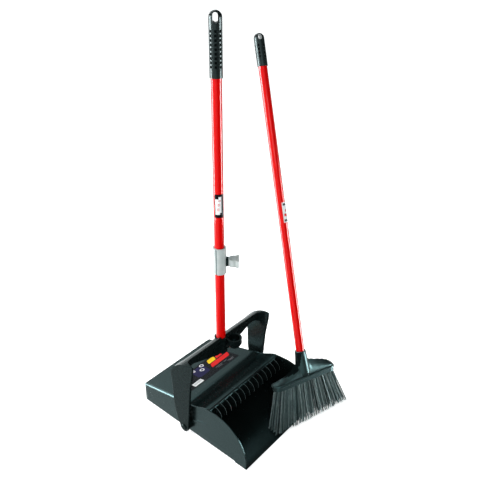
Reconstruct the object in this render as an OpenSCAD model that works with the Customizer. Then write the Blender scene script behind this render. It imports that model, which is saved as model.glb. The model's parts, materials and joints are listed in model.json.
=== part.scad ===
// Lobby dust pan with a swinging upright handle, and its long-handled broom.
// Millimetres, +Z up, mouth of the pan towards -Y.
// Origin on the floor, directly below the pan's handle.

/* [Pan] */
// half width of the pan at its back
pan_half_back = 128; // [100:1:160]
// half width of the pan at its lip
pan_half_front = 142; // [110:1:180]
// Y of the back wall's outer face
pan_back_y = 169; // [140:1:220]
// Y of the lip's front edge
pan_lip_y = -199; // [-240:1:-160]
// wall thickness of the moulding
wall = 2.6; // [2:0.1:4]
// radius of the moulding's outer side edges
edge_r = 6; // [3:0.5:8]
// height of the comb ridge
ridge_z = 107; // [90:1:130]
// number of comb teeth
teeth = 14; // [8:1:24]
// reach of the comb teeth ahead of the skirt
tooth_reach = 22; // [8:1:24]
// thickness of a comb tooth
tooth_t = 1.4; // [1:0.1:3]
// radius of the side walls' rounded front
cheek_r = 94; // [80:1:110]

/* [Yoke] */
// Y of the pivot axis
pivot_y = -4; // [-20:1:20]
// height of the pivot axis
pivot_z = 19; // [14:1:40]
// half width over the arms
yoke_half = 148.5; // [140:0.5:170]
// thickness of the arms and the crossbar's shell
yoke_t = 5.5; // [4:0.5:9]
// height of the crossbar's lower edge
bar_z = 168; // [150:1:190]
// rise of that edge from the middle to the arms
bar_rise = 28; // [10:1:34]
// radius of the pivot pins
pin_r = 4; // [3:0.5:6]
// angle of the clip and the cradle about the handle
clip_angle = -52; // [-180:1:180]
// distance from the handle's axis to the stored broom's axis
clip_reach = 34; // [30:1:45]

/* [Pan handle] */
// outer diameter of the pan tube
pan_tube_d = 24; // [20:0.5:28]
// height of the grip's top
pan_top_z = 986; // [800:1:1100]
// length of the grip
pan_grip_l = 130; // [90:1:160]
// outer diameter of the grip
pan_grip_d = 28; // [26:0.5:34]
// middle height of the clip sleeve
clip_z = 432; // [300:1:700]
// outer radius of the clip sleeve
sleeve_r = 16; // [14.5:0.5:18]
// wall thickness of both handle tubes
tube_wall = 0.8; // [0.5:0.1:2]

/* [Broom] */
// outer diameter of the broom tube
broom_tube_d = 22; // [18:0.5:25]
// length from the bristle tips to the grip's top
broom_l = 966; // [800:1:1100]
// length of the broom grip
broom_grip_l = 77; // [60:1:130]
// outer diameter of the broom grip
broom_grip_d = 25.4; // [24:0.2:32]
// length of the bristle block
block_l = 196; // [160:1:260]
// thickness of the bristle block
block_w = 36; // [28:1:50]
// height of the block's underside above the tips, along the handle
block_d = 99; // [70:1:130]
// height of the bristle block below the head's skirt
block_t = 8; // [5:1:16]
// bristle tufts in a row
row_tufts = 21; // [12:1:30]
// backward lean of the broom
broom_lean = 19.5; // [0:0.5:30]
// sideways lean of the broom
broom_side = 3; // [-10:0.5:10]
// turn of the broom about the vertical
broom_turn = -17.3; // [-90:0.1:90]

/* [Hidden] */
$fn = 64;

black = [0.06, 0.07, 0.07];
dark = [0.12, 0.13, 0.13];
red = [0.80, 0.02, 0.02];
grey = [0.80, 0.82, 0.82];

taper = atan((pan_half_front - pan_half_back) / (pan_back_y - pan_lip_y));
function half_at(y) = pan_half_back + (pan_back_y - y) * tan(taper);

// deck profile: straight slope, roll, trough and rise to the ridge
slope = 11.3;
roll_c = [-5, 62];
roll_r = 26;
trough_r = 31.3;
rise = 70;
to_trough = [-0.6805, 0.7327];
trough_c = roll_c + to_trough * (roll_r + trough_r);
slope_end = roll_c + roll_r * [sin(slope), cos(slope)];
function slope_z(y, drop) =
    slope_end[1] - (y - slope_end[0]) * tan(slope) - drop / cos(slope);

cheek_c = [-104, 15];
skirt_y = -81;
skirt_z = 74;

// arc over the tops of the yoke's arms, as (Y, Z)
arc_c = [-42, 135];
arc_r = 88;
// rounding of the shoulders, seen from the front
shoulder_r = 10;
// front and rear faces of the crossbar's narrow middle
bar_front = -9;
bar_rear = 12;
front_flare = 24;
rear_flare = 38;
socket_d = 33;
socket_floor = bar_z + 6;
fit = 0.05;
cradle = clip_reach * [cos(clip_angle), sin(clip_angle)];
cradle_z = 182;
cradle_h = 26;
cup_r = 19.5;
// distance from the jaw's axis to the seat under the screw's head
screw_seat = 12.2;
jaw_r = 13.6;
dimple_depth = 1.1;

broom_at = [102, -211, 0];
// heights of the head's skirt and of its hood's top, along the handle
head_z = block_d + block_t;
head_top = 172;
// rows of the broom's rotation matrix
lean_row_x = [cos(broom_side) * cos(broom_turn),
              sin(broom_lean) * -sin(broom_side) * cos(broom_turn) - cos(broom_lean) * sin(broom_turn),
              cos(broom_lean) * sin(broom_side) * cos(broom_turn) - sin(broom_lean) * sin(broom_turn)];
lean_row_y = [cos(broom_side) * sin(broom_turn),
              cos(broom_lean) * cos(broom_turn) - sin(broom_lean) * sin(broom_side) * sin(broom_turn),
              sin(broom_lean) * cos(broom_turn) + cos(broom_lean) * sin(broom_side) * sin(broom_turn)];
lean_row_z = [-sin(broom_side), -sin(broom_lean) * cos(broom_side), cos(broom_lean) * cos(broom_side)];

// ---- shared helpers ----

// extrudes a (Y, Z) profile along X, centred
module along_x(length) {
    rotate([90, 0, 90])
        translate([0, 0, -length / 2])
            linear_extrude(length) children();
}

// extrudes an (X, Z) profile along Y, from y0 to y1
module along_y(y0, y1) {
    translate([0, y1, 0])
        rotate([90, 0, 0])
            linear_extrude(y1 - y0) children();
}

// tapered plan of the pan, shrunk by a wall thickness
module pan_plan(t) {
    corner = 16 - t;
    back = pan_back_y - t;
    difference() {
        polygon([[-half_at(back) + t, back],
                 [half_at(back) - t, back],
                 [half_at(pan_lip_y) - t, pan_lip_y],
                 [-half_at(pan_lip_y) + t, pan_lip_y]]);
        for (s = [-1, 1])
            translate([s * (half_at(back) - t), back])
                difference() {
                    square(2 * corner, center = true);
                    translate([-s * corner, -corner]) circle(corner);
                }
    }
}

// everything below the deck's surface, lowered by a thickness
module under_deck(drop, back) {
    start = roll_c + (roll_r - drop) * [sin(slope), cos(slope)];
    join = roll_c + (roll_r - drop) * to_trough;
    foot = trough_c - (trough_r + drop) * [sin(rise), cos(rise)];
    run = (ridge_z - foot[1]) / sin(rise);
    top = foot + run * [-cos(rise), sin(rise)];
    difference() {
        union() {
            polygon([[back, 0], [back, slope_z(back, drop)], start, join,
                     foot, top, [top[0], 0]]);
            translate(roll_c) circle(roll_r - drop);
        }
        translate(trough_c) circle(trough_r + drop);
    }
}

// side outline of the pan's walls
module side_outline() {
    difference() {
        union() {
            under_deck(0, pan_back_y);
            intersection() {
                translate(cheek_c) circle(cheek_r);
                translate([-210, 0]) square([136, 120]);
            }
            polygon([[-104, 0], [-104, 109], [-74, 109], [-66, 107.3], [-56, 103.2],
                     [-46, 98.4], [-34, 93.4], [-22, 89.8], [-10, 88], [-2, 87.7], [-2, 0]]);
        }
        translate([pan_back_y, slope_z(pan_back_y, 0)])
            difference() {
                square(20, center = true);
                translate([-10, -12]) circle(10);
            }
        translate([pan_back_y, 0])
            difference() {
                square(10, center = true);
                translate([-5, 5]) circle(5);
            }
    }
}

// cuts one long outer edge round: the edge runs along +Y, the body lies at -X and -Z
module edge_cut(length, r) {
    translate([-r, 0, -r])
        difference() {
            cube([r + 2, length, r + 2]);
            translate([0, -1, 0]) rotate([-90, 0, 0]) cylinder(h = length + 2, r = r);
        }
}

// ---- dust pan ----

module comb_tooth() {
    // fin that curves forward and down from the ridge
    r = tooth_reach;
    along_x(tooth_t)
        translate([skirt_y, ridge_z - r])
            intersection() {
                circle(r);
                polygon([[1, r], [-r, r], [-r, -3], [3 - r, -6], [1, skirt_z + 1 - ridge_z + r]]);
            }
}

module comb() {
    step = 2 * (half_at(skirt_y) - wall) / (teeth + 1);
    for (i = [1 : teeth])
        translate([(i - (teeth + 1) / 2) * step, 0, 0]) comb_tooth();
}

module side_ledge() {
    // small ledge low on the side wall, just ahead of the arm
    along_x(5)
        polygon([[-26, 44], [-26, 48.5], [-74, 61], [-74, 59.5]]);
}

module pan_boss(s) {
    translate([s * (half_at(pivot_y) - 3), pivot_y, pivot_z])
        rotate([0, s * 90, 0])
            cylinder(h = yoke_half - yoke_t - 0.5 - half_at(pivot_y) + 3, r = 12);
}

module pan_shell() {
    color(black)
    difference() {
        union() {
            // side and back walls
            intersection() {
                along_x(320) side_outline();
                linear_extrude(130)
                    difference() {
                        pan_plan(0);
                        translate([0, -1]) pan_plan(wall);
                        translate([-200, pan_lip_y - 5]) square([400, 4]);
                    }
            }
            // floor, thinned to an edge at the lip
            intersection() {
                linear_extrude(wall) pan_plan(0);
                along_x(320)
                    polygon([[pan_back_y - 5, 0], [pan_back_y, 5], [pan_lip_y + 16, 5],
                             [pan_lip_y + 16, wall], [pan_lip_y, 0.8], [pan_lip_y, 0]]);
            }
            intersection() {
                linear_extrude(130) pan_plan(wall - 0.3);
                union() {
                    // deck, roll, trough and rise
                    along_x(320)
                        intersection() {
                            difference() {
                                under_deck(0, pan_back_y);
                                under_deck(wall, pan_back_y);
                            }
                            side_outline();
                        }
                    // front skirt below the ridge
                    along_x(320)
                        polygon([[skirt_y, ridge_z - 2], [skirt_y + 2, ridge_z],
                                 [skirt_y + 6, ridge_z], [skirt_y + wall, ridge_z - 8],
                                 [skirt_y + wall, skirt_z], [skirt_y, skirt_z]]);
                    comb();
                }
            }
            for (s = [-1, 1]) {
                pan_boss(s);
                translate([s * (half_at(-50) - 0.5), 0, 0]) side_ledge();
            }
        }
        for (s = [0, 1])
            mirror([s, 0, 0]) {
                // rounded upper side edges
                translate([half_at(pan_back_y), pan_back_y, slope_z(pan_back_y, 0)])
                    rotate([0, 0, 180 + taper])
                        rotate([slope, 0, 0])
                            mirror([1, 0, 0]) edge_cut(176, edge_r);
                // rounded lower side edges, stopping short of the lip
                translate([half_at(pan_back_y), pan_back_y, 0])
                    rotate([0, 0, 180 + taper])
                        mirror([1, 0, 0])
                            mirror([0, 0, 1]) edge_cut(332, 5);
            }
        // pin holes
        for (s = [-1, 1])
            translate([s * (half_at(pivot_y) - wall - 1), pivot_y, pivot_z])
                rotate([0, s * 90, 0]) cylinder(h = 30, r = pin_r);
    }
}

module deck_label() {
    color(dark)
    translate([0, 0, slope_z(0, 0)])
        rotate([-slope, 0, 0])
            translate([-95, 20, 0.02]) cube([190, 70, 0.4]);
}

module pivot_pin(s) {
    head_x = yoke_half + 0.3;
    stem_x = half_at(pivot_y) - wall;
    color(dark)
    translate([0, pivot_y, pivot_z])
        rotate([0, s * 90, 0]) {
            translate([0, 0, stem_x]) cylinder(h = head_x - stem_x, r = pin_r);
            translate([0, 0, head_x]) cylinder(h = 1.6, r = 8);
            translate([0, 0, head_x + 1.6]) cylinder(h = 1.4, r1 = 8, r2 = 6);
        }
}

// ---- yoke ----

// side view of an arm and of the crossbar's end: a leaf, widest near its top
module yoke_side(t) {
    intersection() {
        polygon([[-18 + t, pivot_z], [-25 + t, 91], [-31 + t, 154], [-40, 200], [-41, 232],
                 [36, 232], [35, 190], [32, 165], [29 - t, 137], [28 - t, 90], [24 - t, 63],
                 [17 - t, 35], [9 - t, pivot_z]]);
        union() {
            translate(arc_c) circle(arc_r - t);
            translate([-60, 0]) square([120, 140]);
        }
    }
    translate([pivot_y, pivot_z]) circle(14 - t);
}

// front view of the yoke's outline, or of the space inside its shell
module yoke_front(t) {
    w = yoke_half - t;
    top = 229 - t;
    r = shoulder_r - min(t, shoulder_r - 1);
    difference() {
        translate([-w, 0]) square([2 * w, top]);
        for (s = [-1, 1])
            translate([s * w, top])
                difference() {
                    square(2 * r, center = true);
                    translate([-s * r, -r]) circle(r);
                }
    }
}

// front view of the opening under the crossbar, between the arms
module yoke_opening() {
    w = yoke_half - yoke_t;
    end_z = bar_z + bar_rise;
    polygon([[-w, -10], [-w, end_z - 18], [-w + 5, end_z - 6], [-w + 16, end_z], [-w + 34, end_z],
             [-22, bar_z], [22, bar_z],
             [w - 34, end_z], [w - 16, end_z], [w - 5, end_z - 6], [w, end_z - 18], [w, -10]]);
}

// plan of the crossbar: narrow along the middle, flared into both arms
module bar_plan(t) {
    w = yoke_half - yoke_t;
    front_x = w - front_flare;
    rear_x = w - rear_flare;
    difference() {
        translate([-yoke_half, -50]) square([2 * yoke_half, 92]);
        translate([-front_x, -60]) square([2 * front_x, 60 + bar_front + t]);
        translate([-w - t, -60]) square([2 * (w + t), 60 + bar_front - front_flare]);
        translate([-rear_x, bar_rear - t]) square([2 * rear_x, 60]);
        for (s = [-1, 1]) {
            translate([s * front_x, bar_front - front_flare]) circle(front_flare + t);
            translate([s * rear_x, bar_rear + rear_flare]) circle(rear_flare + t);
        }
    }
}

module cradle_cup() {
    // cup beside the socket, for the end of the stored broom's handle
    taper_h = 11;
    translate([cradle[0], cradle[1], cradle_z])
        difference() {
            union() {
                cylinder(h = taper_h, r1 = 13.5, r2 = cup_r);
                translate([0, 0, taper_h]) cylinder(h = cradle_h - taper_h, r = cup_r);
            }
            translate([0, 0, 3]) cylinder(h = taper_h - 3, r1 = 9.5, r2 = cup_r - 4.5);
            translate([0, 0, taper_h]) cylinder(h = cradle_h, r = cup_r - 4.5);
        }
}

module yoke() {
    color(black)
    difference() {
        union() {
            difference() {
                intersection() {
                    along_x(2 * yoke_half) yoke_side(0);
                    along_y(-60, 60)
                        difference() {
                            yoke_front(0);
                            yoke_opening();
                        }
                    union() {
                        linear_extrude(260) bar_plan(0);
                        for (s = [-1, 1])
                            translate([s * yoke_half, 0, 100])
                                cube([2 * yoke_t, 200, 260], center = true);
                    }
                }
                // channel under the crossbar's skin
                intersection() {
                    along_x(2 * yoke_half) yoke_side(4.5);
                    along_y(-60, 60) yoke_front(yoke_t);
                    translate([0, 0, 150]) linear_extrude(100) bar_plan(4);
                }
            }
            translate([0, 0, bar_z]) cylinder(h = 212 - bar_z, r = socket_d / 2);
            cradle_cup();
        }
        translate([0, 0, socket_floor]) cylinder(h = 100, r = pan_tube_d / 2);
        for (s = [-1, 1])
            translate([s * (yoke_half - 10), pivot_y, pivot_z])
                rotate([0, s * 90, 0]) cylinder(h = 20, r = pin_r + fit);
    }
}

// ---- pan handle ----

module pan_tube() {
    color(red)
    translate([0, 0, socket_floor])
        difference() {
            cylinder(h = pan_top_z - 26 - socket_floor, r = pan_tube_d / 2);
            translate([0, 0, -1]) cylinder(h = 1000, r = pan_tube_d / 2 - tube_wall);
        }
}

// sleeve with a domed end, a hang slot and rows of dimples; base at z = 0
module grip(length, od, id, slot_w, slot_h, rows, columns, dimple_w, turn) {
    dome = od / 2;
    difference() {
        union() {
            cylinder(h = length - dome, r = od / 2);
            translate([0, 0, length - dome]) sphere(dome);
        }
        translate([0, 0, -1]) cylinder(h = length - 25, r = id / 2);
        rotate([0, 0, turn])
            translate([0, 0, length - 3.5 - slot_h + slot_w / 2]) {
                for (z = [0, slot_h - slot_w])
                    translate([0, 0, z])
                        rotate([90, 0, 0]) cylinder(h = 60, r = slot_w / 2, center = true);
                translate([-slot_w / 2, -30, 0]) cube([slot_w, 60, slot_h - slot_w]);
            }
        for (i = [0 : rows - 1])
            for (k = [0 : columns - 1])
                rotate([0, 0, turn + k * 360 / columns])
                    translate([od / 2 - dimple_depth, -dimple_w / 2, 20 + i * 8.6])
                        cube([3, dimple_w, 5.2]);
    }
}

module pan_grip() {
    color(black)
    translate([0, 0, pan_top_z - pan_grip_l])
        grip(pan_grip_l, pan_grip_d, pan_tube_d, 11, 20, 9, 8, 5, -50);
}

// thin sticker wrapped part of the way round a tube
module wrap(r, z0, h, spread, turn) {
    rotate([0, 0, turn - spread / 2])
        translate([0, 0, z0])
            rotate_extrude(angle = spread)
                translate([r + 0.02, 0]) square([0.3, h]);
}

module pan_tube_sticker() {
    color(dark) wrap(pan_tube_d / 2, 546, 57, 110, -132);
}

// ---- broom clip ----

module clip_sleeve() {
    color(grey)
    translate([0, 0, clip_z - 34])
        difference() {
            cylinder(h = 68, r = sleeve_r);
            translate([0, 0, -1]) cylinder(h = 70, r = pan_tube_d / 2 + fit);
            // groove down the side
            rotate([0, 0, clip_angle - 116])
                translate([sleeve_r - 1, -1.2, -1]) cube([3, 2.4, 70]);
            // socket for the screw's end
            rotate([0, 0, clip_angle])
                translate([13, 0, 30])
                    rotate([0, 90, 0]) cylinder(h = 10, r = 2);
        }
}

module clip_jaw() {
    color(grey)
    rotate([0, 0, clip_angle])
        translate([clip_reach, 0, clip_z - 13])
            difference() {
                union() {
                    cylinder(h = 18, r = jaw_r);
                    // flared tips
                    for (s = [-1, 1])
                        translate([4.2, s * 11.4, 0])
                            rotate([0, 0, s * 38]) translate([0, -1.4, 0]) cube([9, 2.8, 18]);
                }
                translate([0, 0, -1]) cylinder(h = 20, r = 10.9);
                translate([0, 0, -1])
                    linear_extrude(20) polygon([[0, 0], [20, 14.6], [20, -14.6]]);
                translate([-20, 0, 9])
                    rotate([0, 90, 0]) {
                        cylinder(h = 20, r = 2);
                        // recess for the screw's head
                        translate([0, 0, 20 - screw_seat]) cylinder(h = 5, r = 4);
                    }
            }
}

// block between the sleeve and the jaw, hollowed to fit both
module clip_block() {
    color(dark)
    rotate([0, 0, clip_angle])
        translate([0, 0, clip_z - 14])
            difference() {
                translate([sleeve_r - 2, -6, 0]) cube([clip_reach - sleeve_r - 10, 12, 20]);
                translate([0, 0, -1]) cylinder(h = 22, r = sleeve_r + 0.1);
                translate([clip_reach, 0, -1]) cylinder(h = 22, r = jaw_r + 0.1);
                // way for the screw
                translate([sleeve_r - 4, 0, 10]) rotate([0, 90, 0]) cylinder(h = 14, r = 2);
            }
}

module clip_screw() {
    color(dark)
    rotate([0, 0, clip_angle])
        translate([0, 0, clip_z - 4])
            rotate([0, 90, 0]) {
                translate([0, 0, 13]) cylinder(h = clip_reach - screw_seat - 13, r = 2);
                translate([0, 0, clip_reach - screw_seat]) cylinder(h = 1.2, r = 3.6);
            }
}

// ---- broom ----

// puts a piece modelled with its tips at z = 0 into the standing broom's place
module stand_broom() {
    translate(broom_at)
        rotate([-broom_lean, broom_side, broom_turn]) children();
}

module broom_tube() {
    color(red)
    stand_broom()
        translate([0, 0, 136])
            difference() {
                cylinder(h = broom_l - 22 - 136, r = broom_tube_d / 2);
                translate([0, 0, -1]) cylinder(h = 1000, r = broom_tube_d / 2 - tube_wall);
            }
}

module broom_grip() {
    color(black)
    stand_broom()
        translate([0, 0, broom_l - broom_grip_l])
            grip(broom_grip_l, broom_grip_d, broom_tube_d, 8, 13, 4, 6, 4.4, -20);
}

module broom_sticker() {
    color(dark)
    stand_broom() wrap(broom_tube_d / 2, 512, 50, 110, -60);
}

module head_front() {
    end_z = head_z + 6;
    polygon([[-99, end_z - 1], [-99, end_z + 1.4], [-90, end_z + 4], [-60, 126], [-40, 135],
             [-22, 150], [-14, head_top], [14, head_top], [22, 150], [50, 140.5], [80, 129],
             [90, 122], [99, end_z + 1.4], [99, end_z - 1]]);
}

module broom_head() {
    color(black)
    stand_broom()
        difference() {
            union() {
                intersection() {
                    along_y(-30, 30) head_front();
                    along_x(300)
                        polygon([[-17, head_z + 5], [-16, head_z + 9], [-9, 134], [-7, head_top],
                                 [7, head_top], [9, 134], [16, head_z + 9], [17, head_z + 5]]);
                    linear_extrude(200) stadium(block_l - 1, block_w - 1);
                }
                // skirt over the block
                translate([0, 0, head_z]) linear_extrude(6) stadium(block_l, block_w);
                translate([0, 0, head_z + 4]) cylinder(h = 34, r1 = 17.2, r2 = 15);
                translate([0, 0, head_z + 38]) cylinder(h = 33, r1 = 15, r2 = 14);
            }
            translate([0, 0, 136]) cylinder(h = 60, r = broom_tube_d / 2);
            translate([0, 0, head_z - 1]) linear_extrude(4) stadium(block_l - 8, block_w - 8);
        }
}

module stadium(length, width) {
    square([length - width, width], center = true);
    for (s = [-1, 1])
        translate([s * (length - width) / 2, 0]) circle(width / 2);
}

module bristle_block() {
    color(black)
    stand_broom() {
        translate([0, 0, block_d]) linear_extrude(block_t) stadium(block_l - 4, block_w - 4);
        translate([0, 0, head_z - 1]) linear_extrude(4) stadium(block_l - 8, block_w - 8);
    }
}

// one row of tapered tufts, fanned out from the block to the lip or the floor
module tuft_row(k) {
    v0 = (k - 2.5) * 7.4;
    v1 = (k - 2.5) * 9.2;
    stand_broom()
        for (i = [0 : row_tufts - 1]) {
            s = 2 * i / (row_tufts - 1) - 1;
            u0 = s * (block_l / 2 - 13);
            u1 = s * 114;
            // tips stop just above the lip where the row crosses it
            tip_y = broom_at[1] + lean_row_y * [u1, v1, v1 * 0.35];
            height = tip_y > pan_lip_y - 6 ? wall + 2.9 : 2.6;
            tip_d = (height - lean_row_z[0] * u1 - lean_row_z[1] * v1) / lean_row_z[2];
            dir = [u1 - u0, v1 - v0, tip_d - block_d];
            len = norm(dir);
            // the pan's side wall stands in the back row, which leaves one tuft out there
            middle = [u0 + u1, v0 + v1, block_d + tip_d] / 2;
            off_wall = abs(broom_at[0] + lean_row_x * middle - pan_half_front);
            if (off_wall > 5 || broom_at[1] + lean_row_y * middle < pan_lip_y)
                translate([u0, v0, block_d + 1])
                    rotate([0, acos(dir[2] / len), atan2(dir[1], dir[0])])
                        cylinder(h = len + 1, r1 = 2.6, r2 = 3.6);
        }
}

module tufts_1() {
    color(dark) tuft_row(1);
}

module tufts_2() {
    color(dark) tuft_row(2);
}

module tufts_3() {
    color(dark) tuft_row(3);
}

module tufts_4() {
    color(dark) tuft_row(4);
}

pan_shell();
deck_label();
pivot_pin(-1);  // pivot_pin_left
pivot_pin(1);  // pivot_pin_right
yoke();
pan_tube();
pan_grip();
pan_tube_sticker();
clip_sleeve();
clip_jaw();
clip_block();
clip_screw();
broom_tube();
broom_grip();
broom_sticker();
broom_head();
bristle_block();
tufts_1();
tufts_2();
tufts_3();
tufts_4();
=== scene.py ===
"""Looks of a lobby dust pan and its long-handled broom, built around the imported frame."""

import json
import math
import random

import bmesh
import bpy
from mathutils import Matrix, Vector


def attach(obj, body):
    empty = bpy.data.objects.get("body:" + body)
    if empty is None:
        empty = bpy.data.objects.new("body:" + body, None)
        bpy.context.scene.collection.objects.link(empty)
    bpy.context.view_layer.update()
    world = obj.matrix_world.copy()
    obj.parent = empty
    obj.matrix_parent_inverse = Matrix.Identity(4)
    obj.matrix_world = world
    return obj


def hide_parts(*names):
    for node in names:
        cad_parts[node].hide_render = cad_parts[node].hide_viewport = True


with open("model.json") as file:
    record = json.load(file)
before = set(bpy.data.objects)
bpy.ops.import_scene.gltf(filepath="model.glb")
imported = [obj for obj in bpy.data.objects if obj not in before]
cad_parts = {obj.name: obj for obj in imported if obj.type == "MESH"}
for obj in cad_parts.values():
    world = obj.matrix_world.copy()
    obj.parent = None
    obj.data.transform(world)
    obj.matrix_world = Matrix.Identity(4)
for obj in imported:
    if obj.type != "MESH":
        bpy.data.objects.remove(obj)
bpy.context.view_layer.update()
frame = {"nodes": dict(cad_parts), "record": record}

# Sizes and places are in millimetres where MM turns them into metres, and angles are in degrees.
MM = 0.001
rng = random.Random(7)

BODY_OF = {n: body for body, group in frame["record"]["behaviour"]["bodies"].items() for n in group}

# The broom's own frame: Z runs up its tube from the floor between the bristles, X along its head.
BROOM_AT = Vector((0.102, -0.211, 0.0))
BROOM_TURN, BROOM_TILT, BROOM_LEAN = -17.3, 3, -19.5
BROOM = (Matrix.Translation(BROOM_AT) @ Matrix.Rotation(math.radians(BROOM_TURN), 4, "Z")
         @ Matrix.Rotation(math.radians(BROOM_TILT), 4, "Y")
         @ Matrix.Rotation(math.radians(BROOM_LEAN), 4, "X"))
UPRIGHT = Matrix.Identity(4)

PAN_TUBE_R, BROOM_TUBE_R = 12.0, 11.0
PAN_GRIP_R, BROOM_GRIP_R = 14.0, 12.7
CLIP_HEADING = -52      # the way the clip's jaw points at rest


# ---------------------------------------------------------------- shader helpers

NOISE_SPAN = (0.3, 0.7)     # holds nearly all of a noise's values
FULL = (0.0, 1.0)


def node(tree, kind, **values):
    """A new shader node, with its inputs or its settings given by name."""
    made = tree.nodes.new(kind)
    for key, value in values.items():
        if key in made.inputs:
            made.inputs[key].default_value = value
        else:
            setattr(made, key, value)
    return made


def new_material(name, color, roughness):
    """A material with one Principled shader. Returns the material, its tree and the shader."""
    material = bpy.data.materials.new(name)
    material.use_nodes = True
    tree = material.node_tree
    shader = tree.nodes["Principled BSDF"]
    shader.inputs["Base Color"].default_value = (*color, 1)
    shader.inputs["Roughness"].default_value = roughness
    return material, tree, shader


def noise_of(tree, scale, detail=3.0, roughness=0.55, stretch=(1, 1, 1)):
    """Socket of a noise in object space; scale is in features to the metre."""
    where = node(tree, "ShaderNodeTexCoord")
    mapping = node(tree, "ShaderNodeMapping")
    mapping.inputs["Scale"].default_value = stretch
    tree.links.new(where.outputs["Object"], mapping.inputs["Vector"])
    noise = node(tree, "ShaderNodeTexNoise", Scale=scale, Detail=detail, Roughness=roughness)
    tree.links.new(mapping.outputs["Vector"], noise.inputs["Vector"])
    return noise.outputs["Fac"]


def ramp_of(tree, source, stops):
    """Socket of a colour ramp over source, from (position, colour) stops."""
    ramp = node(tree, "ShaderNodeValToRGB")
    elements = ramp.color_ramp.elements
    while len(elements) < len(stops):
        elements.new(0.5)
    for element, (position, color) in zip(elements, stops):
        element.position = position
        element.color = (*color, 1)
    tree.links.new(source, ramp.inputs["Fac"])
    return ramp.outputs["Color"]


def range_of(tree, source, span, to_span):
    """Socket that maps source from one span of values to another."""
    mapped = node(tree, "ShaderNodeMapRange")
    for key, value in zip(("From Min", "From Max", "To Min", "To Max"), (*span, *to_span)):
        mapped.inputs[key].default_value = value
    tree.links.new(source, mapped.inputs["Value"])
    return mapped.outputs["Result"]


def product_of(tree, first, second):
    """Socket of two value sockets multiplied."""
    product = node(tree, "ShaderNodeMath", operation="MULTIPLY")
    tree.links.new(first, product.inputs[0])
    tree.links.new(second, product.inputs[1])
    return product.outputs["Value"]


def mixed(tree, factor, first, second):
    """A colour mixed from a colour socket and a plain colour, by a factor socket."""
    mix = node(tree, "ShaderNodeMix", data_type="RGBA")
    tree.links.new(factor, mix.inputs[0])
    tree.links.new(first, mix.inputs[6])
    mix.inputs[7].default_value = (*second, 1)
    return mix.outputs[2]


def vary_roughness(tree, shader, noise, low, high):
    """Spreads a shader's roughness from low to high by a noise."""
    rough = range_of(tree, noise, NOISE_SPAN, (low, high))
    tree.links.new(rough, shader.inputs["Roughness"])


def add_bump(tree, shader, height, strength, distance, under=None):
    """Adds a bump from a height socket, over another bump if one is given."""
    bump = node(tree, "ShaderNodeBump", Strength=strength, Distance=distance)
    tree.links.new(height, bump.inputs["Height"])
    if under is not None:
        tree.links.new(under.outputs["Normal"], bump.inputs["Normal"])
    tree.links.new(bump.outputs["Normal"], shader.inputs["Normal"])
    return bump


def edge_wear(tree):
    """Socket that rises to 1 on convex edges, broken up by noise."""
    shape = node(tree, "ShaderNodeNewGeometry")
    raised = range_of(tree, shape.outputs["Pointiness"], (0.53, 0.62), FULL)
    broken = range_of(tree, noise_of(tree, 160, 4, 0.7), (0.35, 0.65), FULL)
    return product_of(tree, raised, broken)


# ---------------------------------------------------------------- materials

def moulded_plastic(name, dark, light, roughness, grain, ior=1.45, worn=(0.010, 0.015, 0.015),
                    tint=(0.45, 0.96, 1.0)):
    """Dark moulded plastic: cloudy colour, fine grain, rubbed patches and worn edges."""
    material, tree, shader = new_material(name, dark, roughness)
    shader.inputs["Specular Tint"].default_value = (*tint, 1)
    shader.inputs["IOR"].default_value = ior
    cloud = ramp_of(tree, noise_of(tree, 14, 4), [(0.32, dark), (0.7, light)])
    tree.links.new(mixed(tree, edge_wear(tree), cloud, worn), shader.inputs["Base Color"])
    vary_roughness(tree, shader, noise_of(tree, 55, 5, 0.65), roughness - 0.03, roughness + 0.04)
    waves = add_bump(tree, shader, noise_of(tree, 38, 2), 0.03, 0.003)
    add_bump(tree, shader, noise_of(tree, 2600, 2), grain, 0.0002, waves)
    return material


def red_coating():
    """Gloss red coating on steel tube, with a faint orange peel and tiny specks."""
    deep, bright, speck = (0.58, 0.0006, 0.0006), (0.63, 0.001, 0.0006), (0.30, 0.001, 0.001)
    material, tree, shader = new_material("red_coating", (0.60, 0.0006, 0.0006), 0.14)
    shader.inputs["IOR"].default_value = 1.5
    shader.inputs["Specular Tint"].default_value = (1.0, 0.08, 0.10, 1)
    shader.inputs["Coat Weight"].default_value = 0.35
    shader.inputs["Coat Roughness"].default_value = 0.05
    tone = ramp_of(tree, noise_of(tree, 9, 3), [(0.3, deep), (0.7, bright)])
    few = range_of(tree, noise_of(tree, 700, 4, 0.8), (0.72, 0.80), (0.0, 0.5))
    tree.links.new(mixed(tree, few, tone, speck), shader.inputs["Base Color"])
    smear = noise_of(tree, 40, 4, 0.6, stretch=(1, 1, 0.15))
    vary_roughness(tree, shader, smear, 0.12, 0.22)
    add_bump(tree, shader, noise_of(tree, 420, 2), 0.05, 0.0005)
    return material


def clip_plastic():
    """Light grey plastic, darker in its hollows."""
    dull, clean, second_tone = (0.38, 0.42, 0.42), (0.44, 0.48, 0.47), (0.16, 0.17, 0.17)
    material, tree, shader = new_material("clip_plastic", (0.41, 0.45, 0.45), 0.32)
    tone = ramp_of(tree, noise_of(tree, 60, 3), [(0.3, dull), (0.7, clean)])
    shape = node(tree, "ShaderNodeNewGeometry")
    hollow = range_of(tree, shape.outputs["Pointiness"], (0.49, 0.42), (0.0, 0.6))
    tree.links.new(mixed(tree, hollow, tone, second_tone), shader.inputs["Base Color"])
    vary_roughness(tree, shader, noise_of(tree, 120, 4), 0.26, 0.4)
    add_bump(tree, shader, noise_of(tree, 2400, 2), 0.08, 0.0002)
    return material


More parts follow.
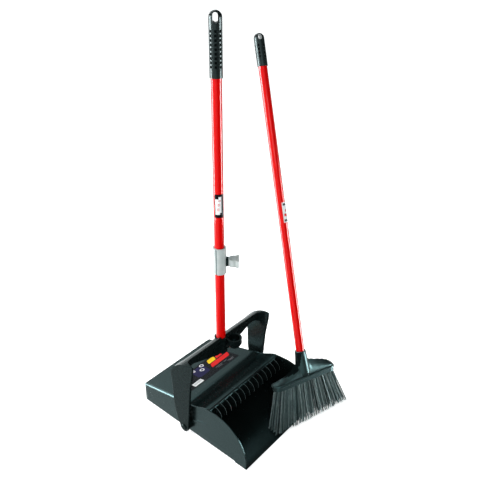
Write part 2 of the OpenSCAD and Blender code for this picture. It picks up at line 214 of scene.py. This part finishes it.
def print_ink(name, color, roughness=0.3):
    """Ink on a label: one colour with a faint mottle and a paper-like bump."""
    material, tree, shader = new_material(name, color, roughness)
    shader.inputs["IOR"].default_value = 1.18
    mottle = noise_of(tree, 300, 4, 0.7)
    darker = tuple(0.86 * c for c in color)
    tone = ramp_of(tree, mottle, [(0.35, darker), (0.6, color)])
    tree.links.new(tone, shader.inputs["Base Color"])
    vary_roughness(tree, shader, mottle, roughness, roughness + 0.12)
    add_bump(tree, shader, noise_of(tree, 1400, 3), 0.06, 0.0002)
    return material


def filament_plastic(name, color):
    """Bristle filaments of one tone, streaked lengthwise."""
    material, tree, shader = new_material(name, color, 0.38)
    shader.inputs["Specular Tint"].default_value = (0.6, 1.0, 1.0, 1)
    streak = noise_of(tree, 330, 2, 0.5, stretch=(1, 1, 0.06))
    darker, lighter = (tuple(share * c for c in color) for share in (0.7, 1.3))
    tone = ramp_of(tree, streak, [(0.35, darker), (0.65, lighter)])
    tree.links.new(tone, shader.inputs["Base Color"])
    vary_roughness(tree, shader, streak, 0.45, 0.3)
    add_bump(tree, shader, noise_of(tree, 900, 2), 0.1, 0.0002)
    return material


PAN_BLACK = moulded_plastic("pan_black", (0.003, 0.005, 0.005), (0.005, 0.008, 0.008),
                            roughness=0.24, grain=0.02)
YOKE_BLACK = moulded_plastic("yoke_black", (0.0025, 0.0042, 0.0042), (0.0045, 0.007, 0.007),
                             roughness=0.27, grain=0.02, ior=1.22, worn=(0.005, 0.008, 0.008))
# painted highlight: a much lighter copy of the pan's plastic on the thin rims of the comb's teeth, standing
# for their glint
COMB_RIM_HIGHLIGHT = moulded_plastic("comb_rim_highlight", (0.05, 0.066, 0.066), (0.09, 0.11, 0.11),
                           roughness=0.3, grain=0.03)
GRIP_BLACK = moulded_plastic("grip_black", (0.003, 0.005, 0.005), (0.006, 0.009, 0.009),
                             roughness=0.28, grain=0.12, ior=1.40, tint=(0.75, 0.98, 1.0))
# painted shade: a darker, duller copy of the grip's plastic for the bottoms of its dimples
GRIP_DIMPLE_SHADE = moulded_plastic("grip_dimple_shade", (0.0015, 0.002, 0.002), (0.003, 0.004, 0.004),
                            roughness=0.6, grain=0.3, ior=1.1)
HEAD_BLACK = moulded_plastic("head_black", (0.012, 0.018, 0.018), (0.019, 0.027, 0.027),
                             roughness=0.32, grain=0.05, ior=1.5)
# painted shade: a near-black, duller copy of the head's plastic for the socket's side beside its gusset,
# standing for its shadow
SOCKET_SHADE = moulded_plastic("painted_socket_shade", (0.001, 0.0015, 0.0015), (0.002, 0.003, 0.003),
                               roughness=0.45, grain=0.05, ior=1.12)
# painted shade: a much darker grey for the groove down the clip's sleeve
CLIP_GROOVE_SHADE = moulded_plastic("clip_groove_shade", (0.10, 0.13, 0.13), (0.15, 0.18, 0.18),
                            roughness=0.6, grain=0.1)
# dark plastic for the block in the clip's neck, between its sleeve and its jaw
CLIP_NECK_BLACK = moulded_plastic("clip_neck_black", (0.003, 0.004, 0.004), (0.006, 0.008, 0.008),
                              roughness=0.5, grain=0.1, ior=1.25)
SCREW_DARK = moulded_plastic("screw_dark", (0.1, 0.1, 0.1), (0.14, 0.14, 0.14),
                             roughness=0.3, grain=0.1)
RED = red_coating()
CLIP_GREY = clip_plastic()
BRISTLES = [filament_plastic("bristle_dark", (0.008, 0.013, 0.013)),
            filament_plastic("bristle_mid", (0.050, 0.070, 0.070)),
            filament_plastic("bristle_light", (0.210, 0.255, 0.255))]
INK_BLACK = print_ink("ink_black", (0.003, 0.003, 0.005), 0.22)
INK_RED = print_ink("ink_red", (0.62, 0.012, 0.012))
INK_YELLOW = print_ink("ink_yellow", (0.80, 0.52, 0.01))
INK_WHITE = print_ink("ink_white", (0.78, 0.79, 0.80))
INK_BLUE = print_ink("ink_blue", (0.012, 0.010, 0.05))
INK_GREY = print_ink("ink_grey", (0.10, 0.10, 0.11))


# ---------------------------------------------------------------- mesh helpers

SHARP_ANGLE = 38        # edges sharper than this stay sharp in shading
HARD_ANGLE = 34         # edges sharper than this are rounded
FLAT_ANGLE = 0.3        # faces that meet at less than this are one face
NARROW_ANGLE = 16       # a face's corner narrower than this can't take a rounded edge
MERGE = 0.003 * MM      # corners closer than this are one corner
CROWDED = 4             # a corner with more hard edges than this stays sharp
ROOM_SHARE = 1.8        # room that a rounded edge needs beside it, as a share of its width


def new_piece(name, shape, *materials):
    """An object from a bmesh, smooth shaded with its sharp edges kept."""
    bmesh.ops.recalc_face_normals(shape, faces=shape.faces)
    for face in shape.faces:
        face.smooth = True
    mesh = bpy.data.meshes.new(name)
    shape.to_mesh(mesh)
    shape.free()
    mesh.set_sharp_from_angle(angle=math.radians(SHARP_ANGLE))
    for material in materials:
        mesh.materials.append(material)
    piece = bpy.data.objects.new(name, mesh)
    bpy.context.scene.collection.objects.link(piece)
    return piece


def place(piece, source):
    """Puts a piece on the body of the CAD node that it stands for, and hides that node."""
    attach(piece, BODY_OF[source])
    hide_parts(source)


def cad_shape(source):
    """A bmesh of a CAD node, its flat faces merged."""
    old = frame["nodes"][source].data
    shape = bmesh.new()
    corners = [shape.verts.new(v.co) for v in old.vertices]
    for face in old.polygons:
        try:
            shape.faces.new([corners[i] for i in face.vertices])
        except ValueError:
            # the same face a second time
            continue
    bmesh.ops.remove_doubles(shape, verts=shape.verts, dist=MERGE)
    bmesh.ops.dissolve_degenerate(shape, edges=shape.edges, dist=MERGE)
    bmesh.ops.dissolve_limit(shape, angle_limit=math.radians(FLAT_ANGLE), verts=shape.verts,
                             edges=shape.edges)
    return shape


def tight(vert, hard, room):
    """True where a rounded edge would fold over itself: short, narrow or crowded neighbours."""
    rays = [(e.other_vert(vert).co - vert.co, e) for e in vert.link_edges]
    for ray, edge in rays:
        if edge not in hard and ray.length < room:
            return True
    for face in vert.link_faces:
        pair = [ray for ray, edge in rays if edge in face.edges]
        if len(pair) == 2 and min(pair[0].length, pair[1].length) > 0:
            if pair[0].angle(pair[1]) < math.radians(NARROW_ANGLE):
                return True
    return sum(1 for edge in vert.link_edges if edge in hard) > CROWDED


def refined(source, material, width):
    """A piece with a CAD node's shape, its hard edges rounded where there is room."""
    shape = cad_shape(source)
    limit = math.radians(HARD_ANGLE)
    hard = {e for e in shape.edges if len(e.link_faces) == 2 and e.calc_face_angle(0) > limit}
    room = ROOM_SHARE * width * MM
    bad = {v for e in hard for v in e.verts if tight(v, hard, room)}
    chosen = [e for e in hard if not (set(e.verts) & bad)]
    bmesh.ops.bevel(shape, geom=chosen, offset=width * MM, offset_type="OFFSET", segments=2,
                    profile=0.5, affect="EDGES", clamp_overlap=False)
    piece = new_piece(source + "_shape", shape, material)
    weighted = piece.modifiers.new("flat faces first", "WEIGHTED_NORMAL")
    weighted.keep_sharp = True
    return piece


def smooth_path(table, x):
    """Value at x of a smooth curve through the (x, value) rows of a table."""
    if x <= table[0][0]:
        return table[0][1]
    for (x0, y0), (x1, y1) in zip(table, table[1:]):
        if x <= x1:
            t = (x - x0) / (x1 - x0)
            return y0 + (y1 - y0) * t * t * (3 - 2 * t)
    return table[-1][1]


def skin(shape, rings):
    """Faces between successive rings of as many vertices each, closed at both ends."""
    made = [[shape.verts.new(p) for p in ring] for ring in rings]
    count = len(made[0])
    faces = []
    for low, high in zip(made, made[1:]):
        for i in range(count):
            k = (i + 1) % count
            faces.append(shape.faces.new([low[i], low[k], high[k], high[i]]))
    faces.append(shape.faces.new(list(reversed(made[0]))))
    faces.append(shape.faces.new(made[-1]))
    return faces


def turned(shape, profile, sides, matrix):
    """A solid of revolution about Z through (radius, z) rows, put in place by matrix."""
    rings = []
    for radius, z in profile:
        ring = []
        for i in range(sides):
            a = math.tau * i / sides
            ring.append(matrix @ Vector((radius * math.cos(a) * MM, radius * math.sin(a) * MM, z * MM)))
        rings.append(ring)
    skin(shape, rings)


def heading_of(at):
    """Direction of a point about Z, from 0 to 360 degrees."""
    return math.degrees(math.atan2(at.y, at.x)) % 360


def second_finish(piece, frame_matrix, chosen):
    """Gives a piece's second material to the faces that chosen picks by centre and normal."""
    back = frame_matrix.inverted()
    for face in piece.data.polygons:
        if chosen(back @ face.center / MM, face.normal):
            face.material_index = 1


# ---------------------------------------------------------------- pieces with the CAD's shape

KEPT = {"pan_tube": RED, "broom_tube": RED, "clip_screw": SCREW_DARK, "bristle_block": HEAD_BLACK,
        "pivot_pin_left": YOKE_BLACK, "pivot_pin_right": YOKE_BLACK}
REFINED = {"pan_shell": (PAN_BLACK, 0.6), "yoke": (YOKE_BLACK, 1.6), "pan_grip": (GRIP_BLACK, 0.35),
           "clip_sleeve": (CLIP_GREY, 0.5), "clip_jaw": (CLIP_GREY, 0.4),
           "clip_block": (CLIP_NECK_BLACK, 0.3), "broom_grip": (GRIP_BLACK, 0.35)}

TEETH_Y, TEETH_Z, TEETH_HALF = (-103.5, -82.5), (75, 107.5), 125    # the comb's reach, height and half width
GROOVE_HEADING = (CLIP_HEADING - 116) % 360
GROOVE_HALF_ANGLE = 6
GROOVE_R = (14.0, 15.9)     # radii between which the groove's faces lie
DIMPLE_FLOOR = (1.6, 0.75)  # depths between which the dimples' bottoms lie


def on_comb_rim(at, normal):
    """True on the thin rims of the comb's teeth, which get a painted highlight."""
    (front, rear), (foot, top), half = TEETH_Y, TEETH_Z, TEETH_HALF
    teeth = front < at.y < rear and foot < at.z < top and abs(at.x) < half
    return teeth and abs(normal.x) < 0.8


def in_sleeve_groove(at, normal):
    """True in the groove down the clip's sleeve, which gets painted shade."""
    deep, shallow = GROOVE_R
    beside = abs(heading_of(at) - GROOVE_HEADING) < GROOVE_HALF_ANGLE
    return deep < math.hypot(at.x, at.y) < shallow and beside and abs(normal.z) < 0.5


def in_dimples(grip_r):
    """Picks the bottoms of the dimples in a grip of some radius, which get painted shade."""
    deep, shallow = DIMPLE_FLOOR

    def chosen(at, normal):
        return grip_r - deep < math.hypot(at.x, at.y) < grip_r - shallow
    return chosen


# second materials: a painted highlight on the comb's rims, painted shade in the clip sleeve's groove and in
# the grips' dimples
SECOND = {"pan_shell": (COMB_RIM_HIGHLIGHT, UPRIGHT, on_comb_rim),
          "clip_sleeve": (CLIP_GROOVE_SHADE, UPRIGHT, in_sleeve_groove),
          "pan_grip": (GRIP_DIMPLE_SHADE, UPRIGHT, in_dimples(PAN_GRIP_R)),
          "broom_grip": (GRIP_DIMPLE_SHADE, BROOM, in_dimples(BROOM_GRIP_R))}


def finish_cad_nodes():
    """Gives looks to the CAD nodes that stay, and refined pieces to the ones that need them."""
    for source, material in KEPT.items():
        slots = frame["nodes"][source].data.materials
        slots.clear()
        slots.append(material)
    for source, (material, width) in REFINED.items():
        piece = refined(source, material, width)
        place(piece, source)
        if source in SECOND:
            second_tone, frame_matrix, chosen = SECOND[source]
            piece.data.materials.append(second_tone)
            second_finish(piece, frame_matrix, chosen)


# ---------------------------------------------------------------- broom head

BLOCK_L, BLOCK_W = 196.0, 36.0      # outline of the head's skirt
SKIRT_Z = 107.0                     # lower edge of the skirt, in the broom's frame
RIM = 5.0                           # width of the skirt's rolled rim
INNER_SHARE = 0.92                  # where the hood starts, as a share of the rim
GROOVE_RISE = 7.2                   # top of the groove inside the rim, above the skirt's edge
HEAD_STOPS, SOCKET_SIDES = 64, 48

# section of the rim: how far in from the outline, as a share of the rim, and how far up
RIM_SECTION = [(0.25, 0.0), (0.0, 1.0), (0.0, 4.8), (0.2, 6.0), (0.55, 6.0), (0.85, 3.6), (1.0, 3.6),
               (INNER_SHARE, GROOVE_RISE)]
# height of the hood's crown along the head, the socket's foot in the middle
HOOD = [(-98, 114.6), (-92, 116.5), (-80, 119.5), (-62, 124.5), (-42, 132.0), (-26, 143.0),
        (-13, 157.0), (13, 157.0), (26, 147.5), (46, 141.0), (64, 135.5), (78, 129.5), (88, 123.5),
        (95, 117.5), (98, 114.6)]
# radius and height of the socket: its foot, its taper, its rounded mouth and its bore
SOCKET = [(10.6, 111), (16.2, 111.6), (17.0, 114), (18.6, 118), (19.2, 122), (18.8, 128), (18.0, 135),
          (17.2, 142), (16.4, 150), (15.6, 158), (14.9, 166), (14.4, 173), (14.0, 176.8), (13.2, 178.0),
          (11.4, 178.0), (11.2, 176.0), (11.1, 140), (9.0, 138)]


def skirt_half(u):
    """Half width of the head's rounded outline at u along its length."""
    past = abs(u) - (BLOCK_L - BLOCK_W) / 2
    r = BLOCK_W / 2
    return r if past <= 0 else math.sqrt(max(r * r - past * past, 0.4))


def head_ring(u):
    """Section across the head: skirt with a rolled rim, a deep groove, and the hood over it."""
    w = skirt_half(u)
    rim = min(w, RIM)
    half = [(w - share * rim, SKIRT_Z + rise) for share, rise in RIM_SECTION]
    inner = max(w - INNER_SHARE * rim, 0.2)
    low = SKIRT_Z + GROOVE_RISE
    crown = smooth_path(HOOD, u)
    for step in (0.10, 0.24, 0.42, 0.60, 0.78, 0.92):
        bulge = inner * (1 - step) ** (0.50 + 0.5 * step)
        half.append((bulge, low + max(crown - low, 0.4) * step ** 0.8))
    ring = half + [(0.0, max(crown, low + 0.4))] + [(-v, d) for v, d in reversed(half)]
    return [BROOM @ Vector((u * MM, v * MM, d * MM)) for v, d in ring]


def on_shaded_side(at, normal):
    """True on the part of the socket's side that gets painted shade, whose edge slants down along the
    gusset.
    """
    foot, mouth, bore_r = 124, 177, 13
    start, end = 100, 190 + 1.2 * (at.z - 125)
    outside = foot < at.z < mouth and math.hypot(at.x, at.y) > bore_r
    return outside and start < heading_of(at) < end


def build_head():
    """The broom's head: hooded block and socket, one moulding."""
    shape = bmesh.new()
    stops = [BLOCK_L * i / HEAD_STOPS - BLOCK_L / 2 for i in range(HEAD_STOPS + 1)]
    skin(shape, [head_ring(u) for u in stops])
    turned(shape, SOCKET, SOCKET_SIDES, BROOM)
    piece = new_piece("broom_head_shape", shape, HEAD_BLACK, SOCKET_SHADE)
    # painted shade on the socket's side beside its gusset
    second_finish(piece, BROOM, on_shaded_side)
    place(piece, "broom_head")


# ---------------------------------------------------------------- bristles

ROWS = (1, 2, 3, 4)
MIDDLE_ROW = 2.5
TUFTS, BUNDLES, STRANDS = 21, 5, 4      # tufts to a row, bundles to a tuft, filaments to a bundle
ROOT_PITCH, TIP_PITCH = 7.4, 9.2        # from row to row
ROOT_HALF, TIP_HALF = BLOCK_L / 2 - 13, 114
ROOT_D = 99.0                           # height of the roots, in the broom's frame
OVER_LIP, OVER_FLOOR = 5.5, 2.6         # height of the tips above the floor
LIP_Y, LIP_HALF = -199.0, 142.0         # front edge and half width of the pan's mouth
LIP_MARGIN, WALL_MARGIN = 6, 5          # how near a tuft may come to the lip and to the pan's wall
BUNDLE_PITCH, BUNDLE_DEPTH = 2.3, 3.2   # from bundle to bundle along a tip, and half the tip's depth
ROOT_SHARE = (0.42, 0.5)                # a tuft's root as shares of its tip, along and across


def tuft_ends(row, i):
    """Root and tip of one tuft in the broom's own frame, or None beside the pan's wall."""
    v0, v1 = (row - MIDDLE_ROW) * ROOT_PITCH, (row - MIDDLE_ROW) * TIP_PITCH
    s = 2 * i / (TUFTS - 1) - 1
    u0, u1 = s * ROOT_HALF, s * TIP_HALF
    turn = BROOM.to_3x3()
    guess = BROOM @ Vector((u1 * MM, v1 * MM, v1 * 0.35 * MM))
    height = OVER_LIP if guess.y / MM > LIP_Y - LIP_MARGIN else OVER_FLOOR
    tip_d = (height - turn[2][0] * u1 - turn[2][1] * v1) / turn[2][2]
    middle = BROOM @ Vector(((u0 + u1) / 2 * MM, (v0 + v1) / 2 * MM, (ROOT_D + tip_d) / 2 * MM))
    if abs(middle.x / MM - LIP_HALF) <= WALL_MARGIN and middle.y / MM >= LIP_Y:
        return None
    return Vector((u0, v0, ROOT_D + 1)), Vector((u1, v1, tip_d))


def filament(shape, root, tip, phase, wave, radius, tone):
    """One thin wavy filament of three sides, in the broom's frame."""
    steps, sides = 7, 3
    along = (tip - root).normalized()
    side = along.cross(Vector((0, 1, 0))).normalized()
    back = along.cross(side)
    rings = []
    for k in range(steps + 1):
        t = k / steps
        # the sway grows from nothing at the root
        sway = wave * min(1.0, 2.5 * t)
        bend = side * sway * math.sin(phase + 7.5 * t) + back * sway * math.cos(1.7 * phase + 6.0 * t)
        at = root.lerp(tip, t) + bend * (1 - 0.35 * t)
        r = radius * (1 - 0.25 * t)
        ring = []
        for j in range(sides):
            a = math.tau * j / sides + phase
            p = at + side * r * math.cos(a) + back * r * math.sin(a)
            ring.append(BROOM @ (p * MM))
        rings.append(ring)
    for face in skin(shape, rings):
        face.material_index = tone


def bundle(shape, root, tip, k):
    """One small bundle of filaments of a tuft, closing up towards its tip."""
    across = (k - BUNDLES // 2) * BUNDLE_PITCH + rng.uniform(-0.5, 0.5)
    depth = rng.uniform(-BUNDLE_DEPTH, BUNDLE_DEPTH)
    start = root + Vector((across * ROOT_SHARE[0], depth * ROOT_SHARE[1], 0))
    end = tip + Vector((across, depth, rng.uniform(0, 1) ** 3 * 3.0))
    phase, wave = rng.uniform(0, math.tau), rng.uniform(0.2, 0.6)
    tone = rng.choice((0, 1, 1, 2))
    for j in range(STRANDS):
        a = math.tau * j / STRANDS + phase
        near = Vector((math.cos(a), math.sin(a), 0))
        far = end + near * 0.75 + Vector((0, 0, rng.uniform(0, 1.2)))
        filament(shape, start + near * 0.5, far, phase + rng.uniform(-0.3, 0.3), wave,
                 rng.uniform(0.45, 0.62), tone)


def build_bristles():
    """Four rows of tufts, each row a piece of many filaments."""
    for row in ROWS:
        shape = bmesh.new()
        ends = [tuft_ends(row, i) for i in range(TUFTS)]
        for root, tip in filter(None, ends):
            for k in range(BUNDLES):
                bundle(shape, root, tip, k)
        name = "tufts_%d" % row
        place(new_piece(name + "_filaments", shape, *BRISTLES), name)


# ---------------------------------------------------------------- labels

# bottom and top of each layer of a label, above what it is stuck to
SHEET = (0.02, 0.36)
THIN_INK, INK, TOP_INK = (0.34, 0.39), (0.34, 0.40), (0.39, 0.42)
RING_INK, EYE_INK = (0.38, 0.41), (0.40, 0.43)
STICKER, STICKER_INK = (0.02, 0.24), (0.22, 0.30)


def slab(shape, outline, layer, put, ink):
    """A thin prism over an (x, y) outline, put in place by a function of (x, y, z)."""
    low, high = layer
    below = [shape.verts.new(put(x, y, low)) for x, y in outline]
    above = [shape.verts.new(put(x, y, high)) for x, y in outline]
    faces = [shape.faces.new(above), shape.faces.new(list(reversed(below)))]
    count = len(outline)
    for i in range(count):
        k = (i + 1) % count
        faces.append(shape.faces.new([below[i], below[k], above[k], above[i]]))
    for face in faces:
        face.material_index = ink


def rounded_box(x0, y0, x1, y1, r, lean=0.0):
    """Outline of a rectangle with rounded corners, its top moved sideways by lean."""
    points = []
    corners = ((x1 - r, y0 + r, -90), (x1 - r, y1 - r, 0), (x0 + r, y1 - r, 90), (x0 + r, y0 + r, 180))
    for cx, cy, start in corners:
        for k in range(5):
            a = math.radians(start + 22.5 * k)
            x, y = cx + r * math.cos(a), cy + r * math.sin(a)
            points.append((x + lean * (y - y0) / (y1 - y0), y))
    return points


def disc(cx, cy, r):
    """Outline of a round patch."""
    count = 28
    turns = [math.tau * i / count for i in range(count)]
    return [(cx + r * math.cos(a), cy + r * math.sin(a)) for a in turns]


DECK_SLOPE = math.radians(11.3)
ROLL_Y, ROLL_Z, ROLL_R = -5, 62, 26     # the pan's rounded hood, which the deck runs straight out of
DECK_START_Y = ROLL_Y + ROLL_R * math.sin(DECK_SLOPE)
DECK_START_Z = ROLL_Z + ROLL_R * math.cos(DECK_SLOPE)
DECK_Z = DECK_START_Z + DECK_START_Y * math.tan(DECK_SLOPE)
DECK = Matrix.Translation((0, 0, DECK_Z * MM)) @ Matrix.Rotation(-DECK_SLOPE, 4, "X")


def on_deck(x, y, z):
    """A point of the label's own plane, z above the pan's sloping deck."""
    return DECK @ Vector((x * MM, y * MM, z * MM))


def build_deck_label():
    """Black sheet with plain coloured blocks: no words, no marks."""
    inks = [INK_BLACK, INK_RED, INK_YELLOW, INK_WHITE, INK_BLUE, INK_GREY]
    black, red, yellow, white, blue, grey = range(len(inks))
    shape = bmesh.new()
    slab(shape, rounded_box(-95, 20, 95, 90, 3), SHEET, on_deck, black)
    slab(shape, rounded_box(-40, 42, 4, 84, 8, 6), THIN_INK, on_deck, blue)
    slab(shape, rounded_box(14, 46, 84, 63, 4, 10), INK, on_deck, red)
    slab(shape, rounded_box(22, 66, 50, 84, 4, 8), INK, on_deck, yellow)
    slab(shape, rounded_box(54, 67, 78, 80, 4, 6), INK, on_deck, red)
    for x, y, r in ((6, 80, 6.5), (-8, 64, 6.5), (-26, 78, 4.5)):
        slab(shape, disc(x, y, r), RING_INK, on_deck, white)
        slab(shape, disc(x, y, 0.6 * r), EYE_INK, on_deck, blue)
    slab(shape, rounded_box(-74, 24, -42, 38, 1), INK, on_deck, white)
    for i in range(9):
        x0 = -71 + 3.1 * i
        slab(shape, rounded_box(x0, 28, x0 + 1.4, 36, 0.3), TOP_INK, on_deck, grey)
    dashes = ((18, 44, 36), (50, 62, 36), (22, 40, 31), (60, 84, 30), (64, 80, 26), (-88, -66, 82))
    for x0, x1, y in dashes:
        slab(shape, rounded_box(x0, y, x1, y + 2.2, 0.8), THIN_INK, on_deck, grey)
    place(new_piece("deck_label_print", shape, *inks), "deck_label")


def wrapped(shape, put, radius, layer, box, ink):
    """A thin sheet bent round a tube: the box's x is the arc length and its y the height."""
    x0, y0, x1, y1 = box
    columns, rows = max(2, int((x1 - x0) / 0.9)), 2

    def bend(x, y, z):
        a = x / radius
        return put @ Vector(((radius + z) * math.cos(a) * MM, (radius + z) * math.sin(a) * MM, y * MM))

    xs = [x0 + (x1 - x0) * i / columns for i in range(columns + 1)]
    ys = [y0 + (y1 - y0) * j / rows for j in range(rows + 1)]
    inner, outer = [[[shape.verts.new(bend(x, y, z)) for y in ys] for x in xs] for z in layer]
    faces = []
    for i in range(columns):
        for j in range(rows):
            for grid in (inner, outer):
                quad = [grid[i][j], grid[i + 1][j], grid[i + 1][j + 1], grid[i][j + 1]]
                faces.append(shape.faces.new(list(reversed(quad)) if grid is inner else quad))
    rim = ([(i, 0) for i in range(columns + 1)] + [(columns, j) for j in range(1, rows + 1)]
           + [(i, rows) for i in range(columns - 1, -1, -1)] + [(0, j) for j in range(rows - 1, 0, -1)])
    for (i, j), (m, n) in zip(rim, rim[1:] + rim[:1]):
        faces.append(shape.faces.new([inner[i][j], inner[m][n], outer[m][n], outer[i][j]]))
    for face in faces:
        face.material_index = ink


def build_tube_label(source, put, radius, z0, z1, turn, ground, blocks):
    """Sticker bent round a tube: a ground colour and plain blocks, as shares of the sticker."""
    inks = [INK_BLACK, INK_RED, INK_WHITE, INK_GREY]
    half = math.radians(110) * radius / 2
    aim = put @ Matrix.Rotation(math.radians(turn), 4, "Z")
    shape = bmesh.new()
    wrapped(shape, aim, radius, STICKER, (-half, z0, half, z1), ground)
    for x0, y0, x1, y1, ink in blocks:
        box = (x0 * half, z0 + y0 * (z1 - z0), x1 * half, z0 + y1 * (z1 - z0))
        wrapped(shape, aim, radius, STICKER_INK, box, ink)
    place(new_piece(source + "_print", shape, *inks), source)


def build_tube_labels():
    """The stickers on both tubes: no words, no marks."""
    black, red, white, grey = range(4)
    pan_blocks = [(-0.75, 0.14, 0.15, 0.80, white), (-0.1, 0.22, 0.45, 0.90, white),
                  (-0.45, 0.30, 0.05, 0.42, red), (-0.30, 0.50, 0.20, 0.62, red),
                  (-0.15, 0.70, 0.35, 0.78, red), (0.55, 0.1, 0.8, 0.3, grey)]
    broom_blocks = [(-0.8, 0.05, 0.8, 0.16, black), (-0.7, 0.30, 0.1, 0.44, red),
                    (-0.3, 0.52, 0.5, 0.64, red), (-0.8, 0.84, 0.8, 0.95, black)]
    build_tube_label("pan_tube_sticker", UPRIGHT, PAN_TUBE_R, 546, 603, -132, black, pan_blocks)
    build_tube_label("broom_sticker", BROOM, BROOM_TUBE_R, 512, 562, -60, white, broom_blocks)


# ---------------------------------------------------------------- stage

LIGHTS = [  # name, place, target, width and height in metres, watts, glints only
    ("key", (-1.75, 1.35, 1.6), (0, 0, 0.2), (1.1, 1.1), 20, False),
    ("rim", (-1.35, 2.1, 0.95), (0, 0, 0.1), (1.1, 1.1), 40, False),
    ("back", (0.35, 1.7, 1.25), (0, 0, 0.2), (0.7, 0.7), 8, False),
    ("top", (0.75, 1.0, 1.7), (0, 0, 0.2), (0.7, 0.7), 3, False),
    ("fill", (-1.15, -1.25, 1.35), (0, 0, 0.2), (0.4, 0.4), 4, False),
    ("left_strip", (-1.45, 1.9, 0.35), (0.05, -0.1, 0.35), (0.9, 1.9), 120, True),
    ("right_strip", (1.55, -2.1, 0.1), (0.05, -0.1, 0.1), (0.7, 1.6), 130, True),
]


def stage_piece(name, points, faces, material):
    """An object of the stage, left out of what the gloss of the pieces shows."""
    mesh = bpy.data.meshes.new(name)
    mesh.from_pydata(points, [], faces)
    mesh.materials.append(material)
    piece = bpy.data.objects.new(name, mesh)
    bpy.context.scene.collection.objects.link(piece)
    piece.visible_glossy = False
    return piece


def glowing(name, color, roughness, strength):
    """A material that gives off some white light of its own. Returns it and its shader."""
    material, _, shader = new_material(name, color, roughness)
    shader.inputs["Emission Color"].default_value = (1, 1, 1, 1)
    shader.inputs["Emission Strength"].default_value = strength
    return material, shader


def make_floor():
    """A wide pale floor, a hair below the pan."""
    far, below = 40.0, -0.0005
    corners = [(-far, -far, below), (far, -far, below), (far, far, below), (-far, far, below)]
    material, _ = glowing("pale_floor", (0.9, 0.9, 0.9), 0.8, 0.62)
    stage_piece("floor", corners, [(0, 1, 2, 3)], material)


def make_backdrop():
    """A white wall all round, which only the camera sees."""
    sides, far, low, high = 32, 38.0, -0.4, 60.0
    turns = [math.tau * i / sides for i in range(sides)]
    points = [(far * math.cos(a), far * math.sin(a), z) for z in (low, high) for a in turns]
    faces = [(i, (i + 1) % sides, sides + (i + 1) % sides, sides + i) for i in range(sides)]
    material, shader = glowing("pale_backdrop", (0.0, 0.0, 0.0), 1.0, 1.0)
    shader.inputs["Specular IOR Level"].default_value = 0.0
    backdrop = stage_piece("backdrop", points, faces, material)
    backdrop.visible_diffuse = False
    backdrop.visible_shadow = False
    backdrop.visible_transmission = False


def area_light(name, at, target, size, power, glints_only):
    """A rectangular light; glints_only makes one that shows in gloss and lights nothing."""
    data = bpy.data.lights.new(name, "AREA")
    data.shape = "RECTANGLE"
    data.size, data.size_y = size
    data.energy = power
    light = bpy.data.objects.new(name, data)
    light.visible_camera = False
    light.visible_diffuse = not glints_only
    light.location = at
    light.rotation_euler = (Vector(target) - Vector(at)).to_track_quat("-Z", "Y").to_euler()
    bpy.context.scene.collection.objects.link(light)


def dotted(tree, source, direction):
    """Socket with the dot product of a vector socket and a plain direction."""
    product = node(tree, "ShaderNodeVectorMath", operation="DOT_PRODUCT")
    product.inputs[1].default_value = direction
    tree.links.new(source, product.inputs[0])
    return product.outputs["Value"]


def level_direction(tree, source):
    """Socket with the direction of a vector socket, laid flat."""
    flat = node(tree, "ShaderNodeVectorMath", operation="MULTIPLY")
    flat.inputs[1].default_value = (1, 1, 0)
    tree.links.new(source, flat.inputs[0])
    unit = node(tree, "ShaderNodeVectorMath", operation="NORMALIZE")
    tree.links.new(flat.outputs["Vector"], unit.inputs[0])
    return unit.outputs["Vector"]


def make_world():
    """Soft studio light: bright at the left and the back, dark at the front and the right."""
    world = bpy.data.worlds.new("studio")
    world.use_nodes = True
    tree = world.node_tree
    facing = node(tree, "ShaderNodeTexCoord").outputs["Generated"]
    bright_way, card_way = (-0.70, 0.50, 0.50), (0.55, 0.20, 0.81)
    behind_way, up = (0.676, 0.737, 0), (0, 0, 1)
    glow = [(0.30, (0.03, 0.035, 0.035)), (0.46, (0.10, 0.12, 0.12)), (0.60, (0.80, 0.92, 0.92)),
            (0.80, (0.95, 1.0, 1.0)), (0.96, (1.0, 1.0, 1.0))]
    share = range_of(tree, dotted(tree, facing, bright_way), (-1.0, 1.0), FULL)
    shade = ramp_of(tree, share, glow)
    # a dark card overhead, which keeps the pan's inside black
    card = range_of(tree, dotted(tree, facing, card_way), (0.84, 0.93), FULL)
    carded = mixed(tree, card, shade, (0.10, 0.12, 0.12))
    # the bright floor behind the object, which shows in rounded edges
    level = level_direction(tree, facing)
    behind = range_of(tree, dotted(tree, level, behind_way), (0.36, 0.56), FULL)
    below = range_of(tree, dotted(tree, facing, up), (0.0, -0.08), FULL)
    lit = mixed(tree, product_of(tree, behind, below), carded, (1.7, 1.8, 1.8))
    tree.links.new(lit, tree.nodes["Background"].inputs["Color"])
    bpy.context.scene.world = world
    bpy.context.scene.view_settings.view_transform = "Standard"


def make_camera():
    """The camera: front left of the pan, a little above the grip, looking down."""
    data = bpy.data.cameras.new("camera")
    data.sensor_width = 36.0
    data.lens = 44.63
    looking_down, heading = 27.1, -50.42
    camera = bpy.data.objects.new("camera", data)
    camera.location = (-0.9173, -0.8210, 1.1139)
    camera.rotation_euler = (math.radians(90 - looking_down), 0, math.radians(heading))
    bpy.context.scene.collection.objects.link(camera)
    bpy.context.scene.camera = camera


finish_cad_nodes()
build_head()
build_bristles()
build_deck_label()
build_tube_labels()
make_floor()
make_backdrop()
make_world()
make_camera()
for light in LIGHTS:
    area_light(*light)
